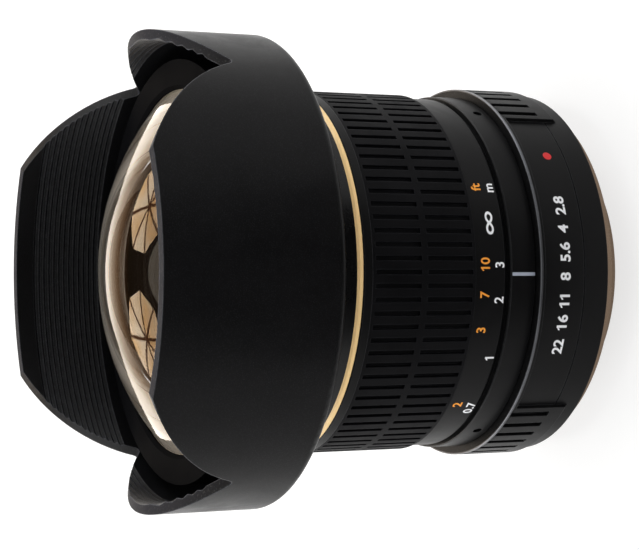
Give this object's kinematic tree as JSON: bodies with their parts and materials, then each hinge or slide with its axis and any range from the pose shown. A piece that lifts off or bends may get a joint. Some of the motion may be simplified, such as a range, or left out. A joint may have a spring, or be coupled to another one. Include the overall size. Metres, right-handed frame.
{
  "type": "wide-angle prime lens",
  "caption": "Manual wide-angle camera lens with a fixed petal hood, domed front glass, ribbed focus ring, aperture ring with a working iris and a three-lug bayonet.",
  "frame": {"origin": "centre of the bayonet's flange seat, on the optical axis", "axes": "+Z along the optical axis to the front of the lens, -Y through the index line"},
  "size_m": [0.087, 0.087, 0.0961],
  "materials": {
    "mount_metal": "chromed brass, finely turned",
    "screw_steel": "blackened or plain steel",
    "black_anodised": "satin black anodised",
    "inner_black": "matte black anodised",
    "cam_brass": "machined",
    "grip_rubber": "ribbed, matte",
    "hood_coat": "matte black with a fine grain",
    "gold_trim": "gold anodised, polished",
    "baffle_plastic": "matte black",
    "optical_glass": "coated and polished",
    "front_glass": "coated and polished",
    "blade_steel": "blackened spring steel"
  },
  "bodies": {
    "barrel": {"mount_bayonet": "mount_metal", "mount_screws": "screw_steel", "rear_baffle": "baffle_plastic", "rear_barrel": "black_anodised", "index_ring": "black_anodised", "index_screws": "screw_steel", "click_ball": "screw_steel", "click_spring": "screw_steel", "trim_ring": "gold_trim", "front_barrel": "black_anodised", "petal_hood": "hood_coat", "hood_clamp_ring": "inner_black", "front_cell": "inner_black", "front_retaining_ring": "inner_black", "rear_cell": "inner_black", "rear_spacers": "inner_black", "lens_2_ring": "inner_black", "lens_3_ring": "inner_black", "lens_4_spacer": "inner_black", "rear_retaining_ring": "inner_black", "iris_base": "inner_black", "iris_cover": "inner_black", "iris_screws": "screw_steel", "iris_lock_ring": "inner_black", "lens_group_1": "front_glass", "lens_group_2": "optical_glass", "lens_group_3": "optical_glass", "lens_group_4": "optical_glass", "lens_group_7": "optical_glass", "lens_group_8": "optical_glass", "lens_group_9": "optical_glass", "lens_group_10": "optical_glass"},
    "focus_ring": {"focus_ring": "black_anodised", "focus_grip": "grip_rubber", "focus_cam": "cam_brass", "focus_stop_screw": "screw_steel"},
    "focus_group": {"focus_cell": "inner_black", "focus_followers": "screw_steel", "focus_spacer": "inner_black", "focus_retaining_ring": "inner_black", "lens_group_5": "optical_glass", "lens_group_6": "optical_glass"},
    "aperture_ring": {"aperture_ring": "black_anodised", "drive_screw": "screw_steel", "iris_cam_ring": "inner_black", "iris_lever": "cam_brass"},
    "blade_1": {"iris_blade_1": "blade_steel"},
    "blade_2": {"iris_blade_2": "blade_steel"},
    "blade_3": {"iris_blade_3": "blade_steel"},
    "blade_4": {"iris_blade_4": "blade_steel"},
    "blade_5": {"iris_blade_5": "blade_steel"},
    "blade_6": {"iris_blade_6": "blade_steel"}
  },
  "joints": [
    {"name": "focus_turn", "type": "hinge", "parent": "barrel", "child": "focus_ring", "pos_m": [0, 0, 0.036], "axis": [0, 0, 1], "range_deg": [-16.3, 152]},
    {"name": "focus_slide", "type": "slide", "parent": "barrel", "child": "focus_group", "axis": [0, 0, 1], "range_m": [-0.00034, 0.00316]},
    {"name": "aperture_turn", "type": "hinge", "parent": "barrel", "child": "aperture_ring", "pos_m": [0, 0, 0.0094], "axis": [0, 0, 1], "range_deg": [-21.75, 21.75]},
    {"name": "blade_1_swing", "type": "hinge", "parent": "barrel", "child": "blade_1", "pos_m": [0, -0.0155, 0.0216], "axis": [0, 0, 1], "range_deg": [-14.26, 14.26]},
    {"name": "blade_2_swing", "type": "hinge", "parent": "barrel", "child": "blade_2", "pos_m": [0.01342, -0.00775, 0.0216], "axis": [0, 0, 1], "range_deg": [-14.26, 14.26]},
    {"name": "blade_3_swing", "type": "hinge", "parent": "barrel", "child": "blade_3", "pos_m": [0.01342, 0.00775, 0.0216], "axis": [0, 0, 1], "range_deg": [-14.26, 14.26]},
    {"name": "blade_4_swing", "type": "hinge", "parent": "barrel", "child": "blade_4", "pos_m": [0, 0.0155, 0.0216], "axis": [0, 0, 1], "range_deg": [-14.26, 14.26]},
    {"name": "blade_5_swing", "type": "hinge", "parent": "barrel", "child": "blade_5", "pos_m": [-0.01342, 0.00775, 0.0216], "axis": [0, 0, 1], "range_deg": [-14.26, 14.26]},
    {"name": "blade_6_swing", "type": "hinge", "parent": "barrel", "child": "blade_6", "pos_m": [-0.01342, -0.00775, 0.0216], "axis": [0, 0, 1], "range_deg": [-14.26, 14.26]}
  ],
  "couplings": [
    {"joint": "focus_slide", "follows": "focus_turn", "m_per_rad": 0.0011915},
    {"joint": "blade_1_swing", "follows": "aperture_turn", "ratio": -0.65517},
    {"joint": "blade_2_swing", "follows": "aperture_turn", "ratio": -0.65517},
    {"joint": "blade_3_swing", "follows": "aperture_turn", "ratio": -0.65517},
    {"joint": "blade_4_swing", "follows": "aperture_turn", "ratio": -0.65517},
    {"joint": "blade_5_swing", "follows": "aperture_turn", "ratio": -0.65517},
    {"joint": "blade_6_swing", "follows": "aperture_turn", "ratio": -0.65517}
  ]
}
